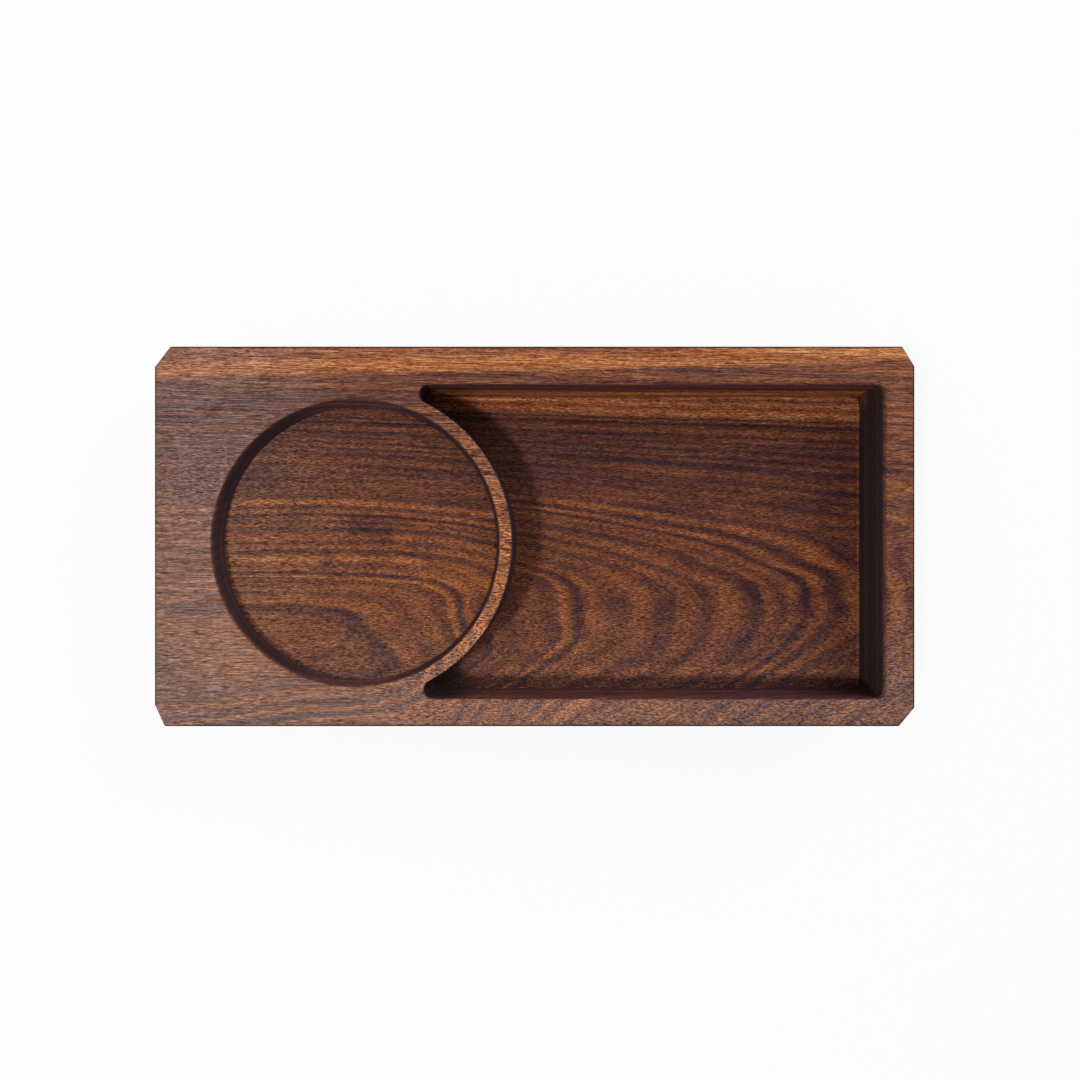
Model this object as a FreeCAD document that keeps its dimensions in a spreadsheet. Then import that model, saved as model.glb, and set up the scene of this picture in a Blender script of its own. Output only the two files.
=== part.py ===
import FreeCAD, Part
import math
import os

import Sketcher
from FreeCAD import Vector

# Driving dimensions: millimetres, and degrees for the drafts and the tips' turn
size = {
    # The board, and its four hand-sawn corners: each cut's reach along the length and along the width
    "tray_length": 200.0,
    "tray_width": 100.0,
    "board_thickness": 20.0,
    "rear_left_cut_along": 4.1,
    "rear_left_cut_across": 5.4,
    "rear_right_cut_along": 3.2,
    "rear_right_cut_across": 5.2,
    "front_right_cut_along": 4.1,
    "front_right_cut_across": 4.9,
    "front_left_cut_along": 2.6,
    "front_left_cut_across": 5.7,
    "corner_edge_round": 0.6,
    "top_edge_round": 0.4,
    "base_edge_round": 0.5,
    # The round dish, with a wall that leans outwards
    "dish_radius": 38.0,
    "dish_depth": 4.5,
    "dish_wall_draft": 15.0,
    "dish_left_border": 14.8,
    "dish_front_offset": 1.7,
    "dish_rim_round": 0.3,
    # The well, with a ring wall left standing between it and the dish
    "ring_wall": 3.2,
    "well_depth": 14.0,
    "rear_rail": 10.0,
    "front_rail": 7.2,
    "end_rail": 8.2,
    "well_corner_radius": 2.2,
    "tip_radius": 2.5,
    "furthest_tip_turn": 75.0,
    # The well's rim: fine along the ring wall, and eased more and more towards the far end
    "ring_rim_round": 0.25,
    "end_rim_round": 1.1,
    "rim_cut_overrun": 0.5,
    # The stick-on feet
    "foot_radius": 5.0,
    "foot_height": 2.25,
    "foot_draft": 8.0,
    "foot_edge_round": 0.6,
    "foot_inset": 12.0,
    "adhesive_thickness": 0.25,
    "adhesive_margin": 0.4,
}

# Where things lie, worked out from the driving dimensions: as numbers, which draw the sketches, and as
# expressions of the sheet's cells, which hold them there
half_length = size["tray_length"] / 2
half_width = size["tray_width"] / 2
top = size["board_thickness"]
dish_x = size["dish_left_border"] + size["dish_radius"] - half_length
dish_y = -size["dish_front_offset"]
ring_radius = size["dish_radius"] + size["ring_wall"]
ring_end_x = dish_x + ring_radius
rear_wall_y = half_width - size["rear_rail"]
front_wall_y = size["front_rail"] - half_width
end_wall_x = half_length - size["end_rail"]

HALF_LENGTH = "sizes.tray_length / 2"
HALF_WIDTH = "sizes.tray_width / 2"
TOP = "sizes.board_thickness"
DISH_X = f"(sizes.dish_left_border + sizes.dish_radius - {HALF_LENGTH})"
DISH_Y = "(-1 * sizes.dish_front_offset)"
RING_RADIUS = "(sizes.dish_radius + sizes.ring_wall)"
RING_END_X = f"({DISH_X} + {RING_RADIUS})"
REAR_WALL_Y = f"({HALF_WIDTH} - sizes.rear_rail)"
FRONT_WALL_Y = f"(sizes.front_rail - {HALF_WIDTH})"
END_WALL_X = f"({HALF_LENGTH} - sizes.end_rail)"
EASED_END_X = f"({END_WALL_X} - sizes.well_corner_radius)"
BOARD_BASE = "sizes.foot_height + sizes.adhesive_thickness"

# Sketch geometry is numbered in the order it is added; a line or arc has these ends
START, END, CENTRE = 1, 2, 3
ORIGIN = (-1, START)
FULL_TURN = 360
NEARLY_ZERO = 1e-6

doc = FreeCAD.newDocument("coin_tray")
sheet = doc.addObject("Spreadsheet::Sheet", "sizes")
for row, (name, value) in enumerate(size.items(), start=1):
    sheet.set(f"A{row}", name)
    sheet.set(f"B{row}", str(value))
    sheet.setAlias(f"B{row}", name)
doc.recompute()


def origin_feature(body, role):
    return next(feature for feature in body.Origin.OriginFeatures if feature.Role == role)


def add_sketch(body, name, role, offset=None):
    sketch = body.newObject("Sketcher::SketchObject", name)
    sketch.AttachmentSupport = [(origin_feature(body, role), "")]
    sketch.MapMode = "FlatFace"
    if offset:
        sketch.setExpression("AttachmentOffset.Base.z", offset)
    return sketch


def bind(sketch, kind, *arguments, to):
    """Adds a dimension and ties it to an expression of the sheet's cells."""
    index = sketch.addConstraint(Sketcher.Constraint(kind, *arguments))
    sketch.setExpression(f"Constraints[{index}]", to)


def add_polygon(sketch, points):
    """Adds a closed loop of lines, and joins each line's end to the next one's start."""
    lines = []
    for start, end in zip(points, points[1:] + points[:1]):
        lines.append(sketch.addGeometry(Part.LineSegment(Vector(*start, 0), Vector(*end, 0))))
    for line, following in zip(lines, lines[1:] + lines[:1]):
        sketch.addConstraint(Sketcher.Constraint("Coincident", line, END, following, START))
    return lines


def place_point(sketch, line, x, y):
    """Ties a line's start to a place, measured from the sketch's origin."""
    at = sketch.getPoint(line, START)
    bind(sketch, "DistanceX", *ORIGIN, line, START, at.x, to=x)
    bind(sketch, "DistanceY", *ORIGIN, line, START, at.y, to=y)


def edges_where(feature, test):
    """Names of a feature's edges whose ends and middle all pass the test."""
    names = []
    for number, edge in enumerate(feature.Shape.Edges, start=1):
        middle = edge.valueAt((edge.FirstParameter + edge.LastParameter) / 2)
        points = [vertex.Point for vertex in edge.Vertexes] + [middle]
        if test(edge, points):
            names.append(f"Edge{number}")
    return names


def add_fillet(body, name, base, edges, radius):
    fillet = body.newObject("PartDesign::Fillet", name)
    fillet.Base = (base, edges)
    fillet.setExpression("Radius", radius)
    doc.recompute()
    return fillet


def recompute_cut(cut):
    """Recomputes a cut, and checks that it took something off the solid before it."""
    doc.recompute()
    if not cut.Shape.Volume < cut.BaseFeature.Shape.Volume:
        raise RuntimeError(f"{cut.Name} cuts nothing")


def lies_at_height(height):
    return lambda edge, points: all(abs(point.z - height) < NEARLY_ZERO for point in points)


def stands_upright(edge, points):
    return all(math.hypot(point.x - points[0].x, point.y - points[0].y) < NEARLY_ZERO for point in points)


def is_dish_rim(edge, points):
    return (lies_at_height(top)(edge, points) and isinstance(edge.Curve, Part.Circle)
            and abs(edge.Curve.Radius - size["dish_radius"]) < NEARLY_ZERO)


def make_board(body):
    """The board with its four sawn corners and softened outer edges."""
    # Each corner in turn round the board: name, side along X, side along Y, and whether the cut's end on the
    # long edge comes first
    corners = [
        ("front_right", 1, -1, True),
        ("rear_right", 1, 1, False),
        ("rear_left", -1, 1, True),
        ("front_left", -1, -1, False),
    ]
    points = []
    places = []
    for name, side_x, side_y, long_edge_first in corners:
        along, across = f"{name}_cut_along", f"{name}_cut_across"
        on_long_edge = (side_x * (half_length - size[along]), side_y * half_width)
        on_short_edge = (side_x * half_length, side_y * (half_width - size[across]))
        long_place = (f"{side_x} * ({HALF_LENGTH} - sizes.{along})", f"{side_y} * {HALF_WIDTH}")
        short_place = (f"{side_x} * {HALF_LENGTH}", f"{side_y} * ({HALF_WIDTH} - sizes.{across})")
        pair = [(on_long_edge, long_place), (on_short_edge, short_place)]
        for point, place in pair if long_edge_first else reversed(pair):
            points.append(point)
            places.append(place)
    outline = add_sketch(body, "board_outline", "XY_Plane")
    for line, (x, y) in zip(add_polygon(outline, points), places):
        place_point(outline, line, x, y)
    board = body.newObject("PartDesign::Pad", "board")
    board.Profile = outline
    board.setExpression("Length", TOP)
    doc.recompute()
    corner_edges = add_fillet(body, "corner_edges", board, edges_where(board, stands_upright),
                              "sizes.corner_edge_round")
    top_edges = add_fillet(body, "top_edges", corner_edges,
                           edges_where(corner_edges, lies_at_height(top)), "sizes.top_edge_round")
    add_fillet(body, "base_edges", top_edges, edges_where(top_edges, lies_at_height(0)),
               "sizes.base_edge_round")


def cut_dish(body):
    """The dish, turned about its own upright axis: a flat floor, a leaning wall and a softened rim."""
    floor = top - size["dish_depth"]
    mouth = top + size["rim_cut_overrun"]
    rim_x = dish_x + size["dish_radius"]
    floor_x = rim_x - size["dish_depth"] * math.tan(math.radians(size["dish_wall_draft"]))
    rim = f"({DISH_X} + sizes.dish_radius)"
    floor_edge = f"({rim} - sizes.dish_depth * tan(sizes.dish_wall_draft * 1 deg))"
    floor_height = f"({TOP} - sizes.dish_depth)"
    mouth_height = f"({TOP} + sizes.rim_cut_overrun)"
    section = add_sketch(body, "dish_section", "XZ_Plane", f"-1 * {DISH_Y}")
    points = [(dish_x, mouth), (dish_x, floor), (floor_x, floor), (rim_x, top), (rim_x, mouth)]
    places = [(DISH_X, mouth_height), (DISH_X, floor_height), (floor_edge, floor_height), (rim, TOP),
              (rim, mouth_height)]
    for line, (x, y) in zip(add_polygon(section, points), places):
        place_point(section, line, x, y)
    dish = body.newObject("PartDesign::Groove", "dish")
    dish.Profile = section
    dish.ReferenceAxis = (section, ["Edge1"])
    dish.Angle = FULL_TURN
    recompute_cut(dish)
    add_fillet(body, "dish_rim", dish, edges_where(dish, is_dish_rim), "sizes.dish_rim_round")


def tip_radius(wall_distance):
    """The cutter's radius, or more where the ring stands too far from the wall for that to touch both."""
    turn = math.sin(math.radians(size["furthest_tip_turn"]))
    return max(size["tip_radius"], (wall_distance - ring_radius * turn) / (1 + turn))


def tip_radius_expression(wall_distance):
    turn = "sin(sizes.furthest_tip_turn * 1 deg)"
    return f"max(sizes.tip_radius; ({wall_distance} - {RING_RADIUS} * {turn}) / (1 + {turn}))"


def tip_centre(radius, y):
    """Centre, at a given height on the sketch, of a tip's arc that touches the ring from outside."""
    reach = ring_radius + radius
    return Vector(dish_x + math.sqrt(reach ** 2 - (y - dish_y) ** 2), y, 0)


def arc(centre, radius, start, end):
    """An arc run anticlockwise between the directions of two points seen from its centre."""
    angles = [math.atan2(point.y - centre.y, point.x - centre.x) for point in (start, end)]
    return Part.ArcOfCircle(Part.Circle(centre, Vector(0, 0, 1), radius), *angles)


def draw_well(body):
    """Draws the well's outline on the top face, and gives the sketch and its edges by name."""
    dish = Vector(dish_x, dish_y, 0)
    corner = size["well_corner_radius"]
    rear_round = tip_radius(rear_wall_y - dish_y)
    front_round = tip_radius(dish_y - front_wall_y)
    rear_tip = tip_centre(rear_round, rear_wall_y - rear_round)
    front_tip = tip_centre(front_round, front_wall_y + front_round)
    rear_corner = Vector(end_wall_x - corner, rear_wall_y - corner, 0)
    front_corner = Vector(end_wall_x - corner, front_wall_y + corner, 0)
    rear_split = Vector(ring_end_x, rear_wall_y, 0)
    front_split = Vector(ring_end_x, front_wall_y, 0)
    right, up = Vector(1, 0, 0), Vector(0, 1, 0)
    # Anticlockwise from the front tip; each long wall is split beside the ring's furthest point
    pieces = {
        "front_near": Part.LineSegment(front_tip - up * front_round, front_split),
        "front_far": Part.LineSegment(front_split, front_corner - up * corner),
        "front_corner": arc(front_corner, corner, front_corner - up, front_corner + right),
        "end": Part.LineSegment(front_corner + right * corner, rear_corner + right * corner),
        "rear_corner": arc(rear_corner, corner, rear_corner + right, rear_corner + up),
        "rear_far": Part.LineSegment(rear_corner + up * corner, rear_split),
        "rear_near": Part.LineSegment(rear_split, rear_tip + up * rear_round),
        "rear_tip": arc(rear_tip, rear_round, rear_tip + up, dish),
        "ring": arc(dish, ring_radius, front_tip, rear_tip),
        "front_tip": arc(front_tip, front_round, dish, front_tip - up),
    }
    sketch = add_sketch(body, "well_outline", "XY_Plane", TOP)
    number = {name: sketch.addGeometry(piece) for name, piece in pieces.items()}
    # The ring bulges into the well, so round this loop it runs from its end to its start
    loop = [(name, END, START) if name == "ring" else (name, START, END) for name in pieces]
    for (name, _, last), (following, first, _) in zip(loop, loop[1:] + loop[:1]):
        kind = "Coincident" if name in ("front_near", "rear_far") else "Tangent"
        sketch.addConstraint(Sketcher.Constraint(kind, number[name], last, number[following], first))
    for name in ("front_near", "front_far", "rear_far", "rear_near"):
        sketch.addConstraint(Sketcher.Constraint("Horizontal", number[name]))
    sketch.addConstraint(Sketcher.Constraint("Vertical", number["end"]))
    rear_tip_round = tip_radius_expression(f"({REAR_WALL_Y} - {DISH_Y})")
    front_tip_round = tip_radius_expression(f"({DISH_Y} - {FRONT_WALL_Y})")
    for name, radius, source in (("front_corner", corner, "sizes.well_corner_radius"),
                                 ("rear_corner", corner, "sizes.well_corner_radius"),
                                 ("front_tip", front_round, front_tip_round),
                                 ("rear_tip", rear_round, rear_tip_round),
                                 ("ring", ring_radius, RING_RADIUS)):
        bind(sketch, "Radius", number[name], radius, to=source)
    bind(sketch, "DistanceX", *ORIGIN, number["ring"], CENTRE, dish_x, to=DISH_X)
    bind(sketch, "DistanceY", *ORIGIN, number["ring"], CENTRE, dish_y, to=DISH_Y)
    bind(sketch, "DistanceX", *ORIGIN, number["front_far"], START, ring_end_x, to=RING_END_X)
    bind(sketch, "DistanceX", *ORIGIN, number["rear_near"], START, ring_end_x, to=RING_END_X)
    bind(sketch, "DistanceY", *ORIGIN, number["front_far"], START, front_wall_y, to=FRONT_WALL_Y)
    bind(sketch, "DistanceY", *ORIGIN, number["rear_near"], START, rear_wall_y, to=REAR_WALL_Y)
    bind(sketch, "DistanceX", *ORIGIN, number["end"], START, end_wall_x, to=END_WALL_X)
    return sketch, {name: f"Edge{index + 1}" for name, index in number.items()}


def cut_well(body, outline):
    well = body.newObject("PartDesign::Pocket", "well")
    well.Profile = outline
    well.setExpression("Length", "sizes.well_depth")
    recompute_cut(well)


def rim_section(body, name, station, wall, wall_expression, side, round_name):
    """Section across a long rim: what an eased edge takes off, run past the two faces it joins."""
    radius = size[round_name]
    over = size["rim_cut_overrun"]
    inner = wall - side * over
    crest = wall + side * radius
    foot = top - radius
    sketch = add_sketch(body, name, "YZ_Plane", station)
    points = [(crest, top), (crest, top + over), (inner, top + over), (inner, foot), (wall, foot)]
    lines = []
    for start, end in zip(points, points[1:]):
        lines.append(sketch.addGeometry(Part.LineSegment(Vector(*start, 0), Vector(*end, 0))))
    centre = Vector(crest, foot, 0)
    ends = [Vector(wall, foot, 0), Vector(crest, top, 0)]
    curve = sketch.addGeometry(arc(centre, radius, *(ends if side < 0 else reversed(ends))))
    near, far = (START, END) if side < 0 else (END, START)
    for line, following in zip(lines, lines[1:]):
        sketch.addConstraint(Sketcher.Constraint("Coincident", line, END, following, START))
    sketch.addConstraint(Sketcher.Constraint("Coincident", lines[-1], END, curve, near))
    sketch.addConstraint(Sketcher.Constraint("Coincident", lines[0], START, curve, far))
    for line, kind in zip(lines, ("Vertical", "Horizontal", "Vertical", "Horizontal")):
        sketch.addConstraint(Sketcher.Constraint(kind, line))
    crest_place = f"{wall_expression} + {side} * sizes.{round_name}"
    inner_place = f"{wall_expression} - {side} * sizes.rim_cut_overrun"
    foot_place = f"{TOP} - sizes.{round_name}"
    bind(sketch, "DistanceX", *ORIGIN, curve, CENTRE, crest, to=crest_place)
    bind(sketch, "DistanceY", *ORIGIN, curve, CENTRE, foot, to=foot_place)
    bind(sketch, "DistanceX", *ORIGIN, lines[0], START, crest, to=crest_place)
    bind(sketch, "DistanceX", *ORIGIN, curve, near, wall, to=wall_expression)
    bind(sketch, "DistanceY", *ORIGIN, curve, near, foot, to=foot_place)
    bind(sketch, "DistanceX", *ORIGIN, lines[2], START, inner, to=inner_place)
    bind(sketch, "DistanceY", *ORIGIN, lines[2], START, top + over, to=f"{TOP} + sizes.rim_cut_overrun")
    return sketch


def ease_rim(body, outline, edges):
    """The well's rim: fine round the ring and the tips, swelling along the rails, full round the far end."""
    rear = (rear_wall_y, REAR_WALL_Y, 1)
    front = (front_wall_y, FRONT_WALL_Y, -1)
    rear_fine = rim_section(body, "rear_fine_section", RING_END_X, *rear, "ring_rim_round")
    rear_full = rim_section(body, "rear_full_section", EASED_END_X, *rear, "end_rim_round")
    front_fine = rim_section(body, "front_fine_section", RING_END_X, *front, "ring_rim_round")
    front_full = rim_section(body, "front_full_section", EASED_END_X, *front, "end_rim_round")
    doc.recompute()
    ring_path = ["rear_near", "rear_tip", "ring", "front_tip", "front_near"]
    end_path = ["rear_corner", "end", "front_corner"]
    for name, profile, path in (("ring_rim", rear_fine, ring_path), ("end_rim", rear_full, end_path)):
        rim = body.newObject("PartDesign::SubtractivePipe", name)
        rim.Profile = profile
        rim.Spine = (outline, [edges[edge] for edge in path])
        recompute_cut(rim)
    for name, fine, full in (("rear_rim", rear_fine, rear_full), ("front_rim", front_fine, front_full)):
        rim = body.newObject("PartDesign::SubtractiveLoft", name)
        rim.Profile = fine
        rim.Sections = [full]
        rim.Ruled = True
        recompute_cut(rim)


def make_tray_body():
    body = doc.addObject("PartDesign::Body", "tray_body")
    body.Label = "tray_body"
    body.setExpression("Placement.Base.z", BOARD_BASE)
    make_board(body)
    cut_dish(body)
    outline, edges = draw_well(body)
    cut_well(body, outline)
    ease_rim(body, outline, edges)
    return body


def place_at_corner(piece, side_x, side_y):
    piece.setExpression("Placement.Base.x", f"{side_x} * ({HALF_LENGTH} - sizes.foot_inset)")
    piece.setExpression("Placement.Base.y", f"{side_y} * ({HALF_WIDTH} - sizes.foot_inset)")


def make_foot(corner, side_x, side_y):
    """A low moulded foot: a drafted stub with a rounded lower edge and a flat underside."""
    body = doc.addObject("PartDesign::Body", f"foot_{corner}")
    body.Label = f"foot_{corner}"
    place_at_corner(body, side_x, side_y)
    radius = size["foot_radius"]
    height = size["foot_height"]
    base_radius = radius - height * math.tan(math.radians(size["foot_draft"]))
    base = "sizes.foot_radius - sizes.foot_height * tan(sizes.foot_draft * 1 deg)"
    section = add_sketch(body, f"foot_section_{corner}", "XZ_Plane")
    points = [(0, 0), (base_radius, 0), (radius, height), (0, height)]
    places = [("0", "0"), (base, "0"), ("sizes.foot_radius", "sizes.foot_height"),
              ("0", "sizes.foot_height")]
    for line, (x, y) in zip(add_polygon(section, points), places):
        place_point(section, line, x, y)
    stub = body.newObject("PartDesign::Revolution", f"foot_stub_{corner}")
    stub.Profile = section
    stub.ReferenceAxis = (origin_feature(body, "Z_Axis"), [""])
    stub.Angle = FULL_TURN
    doc.recompute()
    add_fillet(body, f"foot_edge_{corner}", stub, edges_where(stub, lies_at_height(0)),
               "sizes.foot_edge_round")
    return body


def make_adhesive_disc(corner, side_x, side_y):
    """The adhesive disc that joins a foot to the board's underside."""
    disc = doc.addObject("Part::Cylinder", f"adhesive_disc_{corner}")
    disc.Label = f"adhesive_disc_{corner}"
    disc.setExpression("Radius", "sizes.foot_radius - sizes.adhesive_margin")
    disc.setExpression("Height", "sizes.adhesive_thickness")
    place_at_corner(disc, side_x, side_y)
    disc.setExpression("Placement.Base.z", "sizes.foot_height")
    return disc


sub_parts = [make_tray_body()]
for corner, side_x, side_y in (("front_left", -1, -1), ("front_right", 1, -1),
                               ("rear_left", -1, 1), ("rear_right", 1, 1)):
    sub_parts.append(make_foot(corner, side_x, side_y))
    sub_parts.append(make_adhesive_disc(corner, side_x, side_y))
doc.recompute()

for item in doc.Objects:
    if "Invalid" in item.State or "Error" in item.State:
        raise RuntimeError(f"{item.Name} failed: {item.State}")
for part in sub_parts:
    if part.Shape.isNull() or not part.Shape.isValid():
        raise RuntimeError(f"{part.Label} has no valid shape")

os.makedirs("parts", exist_ok=True)
for part in sub_parts:
    part.Shape.exportStep(f"parts/{part.Label}.step")
    box = part.Shape.BoundBox
    print(f"{part.Label}: {part.Shape.Volume:.1f} mm3, {len(part.Shape.Solids)} solid, "
          f"z {box.ZMin:.2f} to {box.ZMax:.2f}")
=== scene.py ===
import bmesh
import bpy
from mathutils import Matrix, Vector


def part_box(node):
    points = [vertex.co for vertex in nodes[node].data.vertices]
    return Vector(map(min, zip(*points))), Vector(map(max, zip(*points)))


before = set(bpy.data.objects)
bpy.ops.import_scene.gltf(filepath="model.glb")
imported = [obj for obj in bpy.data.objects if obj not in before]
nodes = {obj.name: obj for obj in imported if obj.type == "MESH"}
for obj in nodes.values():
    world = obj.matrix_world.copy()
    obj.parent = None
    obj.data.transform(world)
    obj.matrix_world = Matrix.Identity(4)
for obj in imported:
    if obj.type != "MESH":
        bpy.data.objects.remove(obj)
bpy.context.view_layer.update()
mm = 0.001
print("frame loaded:", len(nodes), "nodes")


def hexToLinear(code):
    channels = [int(code[i:i + 2], 16) / 255 for i in (1, 3, 5)]
    return [c / 12.92 if c <= 0.04045 else ((c + 0.055) / 1.055) ** 2.4 for c in channels] + [1.0]


# Adds a node: inputs are values or sockets, stops fill a colour ramp, points a smooth or straight curve
def addNode(tree, kind, inputs=None, stops=None, points=None, straight=False, **settings):
    node = tree.nodes.new(kind)
    for name, value in settings.items():
        setattr(node, name, value)
    for key, value in (inputs or {}).items():
        if isinstance(value, bpy.types.NodeSocket):
            tree.links.new(value, node.inputs[key])
        else:
            node.inputs[key].default_value = value
    if stops:
        ramp = node.color_ramp.elements
        while len(ramp) < len(stops):
            ramp.new(0.5)
        for element, (place, colour) in zip(ramp, stops):
            element.position = place
            element.color = hexToLinear(colour)
    if points:
        curve = node.mapping.curves[0].points
        node.mapping.use_clip = False
        while len(curve) < len(points):
            curve.new(points[len(curve)][0], 0)
        for point, place in zip(curve, points):
            point.location = place
            point.handle_type = "VECTOR" if straight else "AUTO_CLAMPED"
        node.mapping.update()
    return node


def newMaterial(name):
    material = bpy.data.materials.new(name)
    material.use_nodes = True
    material.node_tree.nodes.clear()
    return material, material.node_tree


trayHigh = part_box("tray_body")[1] / mm  # the tray's rear right top corner

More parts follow.
